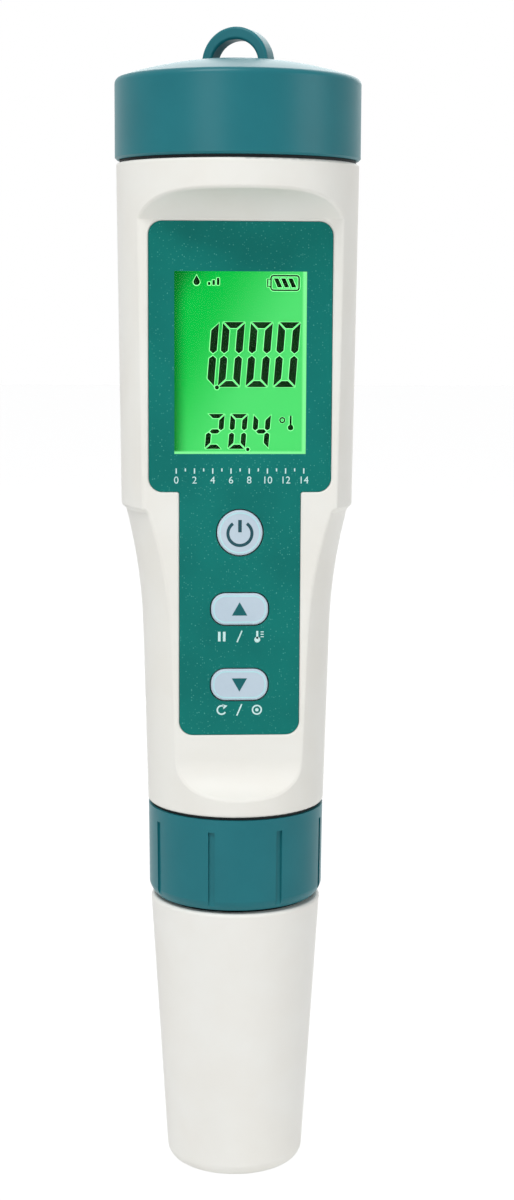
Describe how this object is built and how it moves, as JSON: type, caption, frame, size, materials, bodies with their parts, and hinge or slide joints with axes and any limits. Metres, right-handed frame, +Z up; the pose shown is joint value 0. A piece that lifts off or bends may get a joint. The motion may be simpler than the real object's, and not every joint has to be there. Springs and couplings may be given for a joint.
{
  "type": "water quality tester",
  "caption": "Pen-shaped water tester with a keyed display face, screw battery cap with a lanyard loop, lock ring, plug-in electrode and pull-off probe cap.",
  "frame": {"origin": "centre of the probe cap's flat base, on the axis", "axes": "+Z up the axis from the probe cap to the battery cap, -Y out of the front face"},
  "size_m": [0.04, 0.04, 0.1907],
  "materials": {
    "housing_plastic": "moulded ABS, satin",
    "teal_plastic": "moulded ABS, satin teal",
    "overlay_film": "printed polycarbonate film with fine sparkle",
    "clear_window": "clear polished acrylic",
    "display_glass": "liquid crystal cell, green backlight",
    "frame_plastic": "moulded white ABS",
    "light_guide": "clear acrylic light guide",
    "lamp": "surface-mount lamp",
    "contact_rubber": "layered conductive silicone",
    "circuit_board": "solder-masked glass laminate",
    "chip_resin": "moulded black epoxy",
    "component_metal": "tinned cans and leads",
    "key_plastic": "moulded pale blue-grey keytop",
    "plunger_plastic": "moulded acetal",
    "seal_rubber": "black nitrile rubber",
    "cell_steel": "nickel-plated can",
    "contact_steel": "nickel-plated spring steel",
    "screw_steel": "zinc-plated steel",
    "electrode_plastic": "moulded black polycarbonate",
    "bulb_glass": "thin blown glass",
    "junction_ceramic": "porous ceramic",
    "platinum": "polished platinum",
    "titanium": "turned titanium",
    "probe_steel": "polished stainless tube",
    "connector_plastic": "moulded black nylon",
    "pin_gold": "gold-plated brass",
    "cap_plastic": "moulded ivory polypropylene",
    "sponge_foam": "wet open-cell foam"
  },
  "bodies": {
    "housing_body": {"housing": "housing_plastic", "front_overlay": "overlay_film", "display_window": "clear_window", "lcd_panel": "display_glass", "lcd_frame": "frame_plastic", "backlight_guide": "light_guide", "backlight_leds": "lamp", "zebra_strips": "contact_rubber", "main_board": "circuit_board", "controller_chip": "chip_resin", "board_components": "component_metal", "tact_switches": "chip_resin", "key_gasket": "seal_rubber", "battery_holder": "frame_plastic", "button_cells": "cell_steel", "battery_contacts": "contact_steel", "case_screws": "screw_steel", "socket_board": "circuit_board", "connector_socket": "connector_plastic", "link_header": "connector_plastic", "lock_ring_seal": "seal_rubber", "battery_cap_seal": "seal_rubber"},
    "power_key_body": {"power_key": "key_plastic", "power_plunger": "plunger_plastic"},
    "up_key_body": {"up_key": "key_plastic", "up_plunger": "plunger_plastic"},
    "down_key_body": {"down_key": "key_plastic", "down_plunger": "plunger_plastic"},
    "carrier_body": {"contact_carrier": "frame_plastic", "bridge_contact": "contact_steel"},
    "battery_cap_body": {"battery_cap": "teal_plastic", "carrier_screw": "screw_steel"},
    "electrode_unit": {"electrode_body": "electrode_plastic", "electrode_seal": "seal_rubber", "electrode_board": "circuit_board", "connector_pins": "pin_gold", "sensor_head": "electrode_plastic", "glass_electrode": "bulb_glass", "reference_junction": "junction_ceramic", "orp_electrode": "platinum", "conductivity_pins": "titanium", "temperature_probe": "probe_steel", "probe_cap_seal": "seal_rubber"},
    "lock_ring_body": {"lock_ring": "teal_plastic"},
    "probe_cap_body": {"probe_cap": "cap_plastic", "soak_sponge": "sponge_foam"}
  },
  "joints": [
    {"name": "power_key_press", "type": "slide", "parent": "housing_body", "child": "power_key_body", "axis": [0, 1, 0], "range_m": [0, 0.0004], "stiffness_N_per_m": 2000},
    {"name": "up_key_press", "type": "slide", "parent": "housing_body", "child": "up_key_body", "axis": [0, 1, 0], "range_m": [0, 0.0004], "stiffness_N_per_m": 2000},
    {"name": "down_key_press", "type": "slide", "parent": "housing_body", "child": "down_key_body", "axis": [0, 1, 0], "range_m": [0, 0.0004], "stiffness_N_per_m": 2000},
    {"name": "battery_cap_lift", "type": "slide", "parent": "housing_body", "child": "carrier_body", "axis": [0, 0, 1], "range_m": [0, 0.0075]},
    {"name": "battery_cap_turn", "type": "hinge", "parent": "carrier_body", "child": "battery_cap_body", "pos_m": [0, 0, 0.1823], "axis": [0, 0, 1], "range_deg": [0, 900]},
    {"name": "electrode_slide", "type": "slide", "parent": "housing_body", "child": "electrode_unit", "axis": [0, 0, -1], "range_m": [0, 0.0075]},
    {"name": "lock_ring_turn", "type": "hinge", "parent": "electrode_unit", "child": "lock_ring_body", "pos_m": [0, 0, 0.055], "axis": [0, 0, -1], "range_deg": [0, 1080]},
    {"name": "probe_cap_pull", "type": "slide", "parent": "electrode_unit", "child": "probe_cap_body", "axis": [0, 0, -1], "range_m": [0, 0.045]}
  ],
  "couplings": [
    {"joint": "battery_cap_lift", "follows": "battery_cap_turn", "m_per_rad": 0.00047746},
    {"joint": "lock_ring_turn", "follows": "electrode_slide", "rad_per_m": 2513.3}
  ]
}
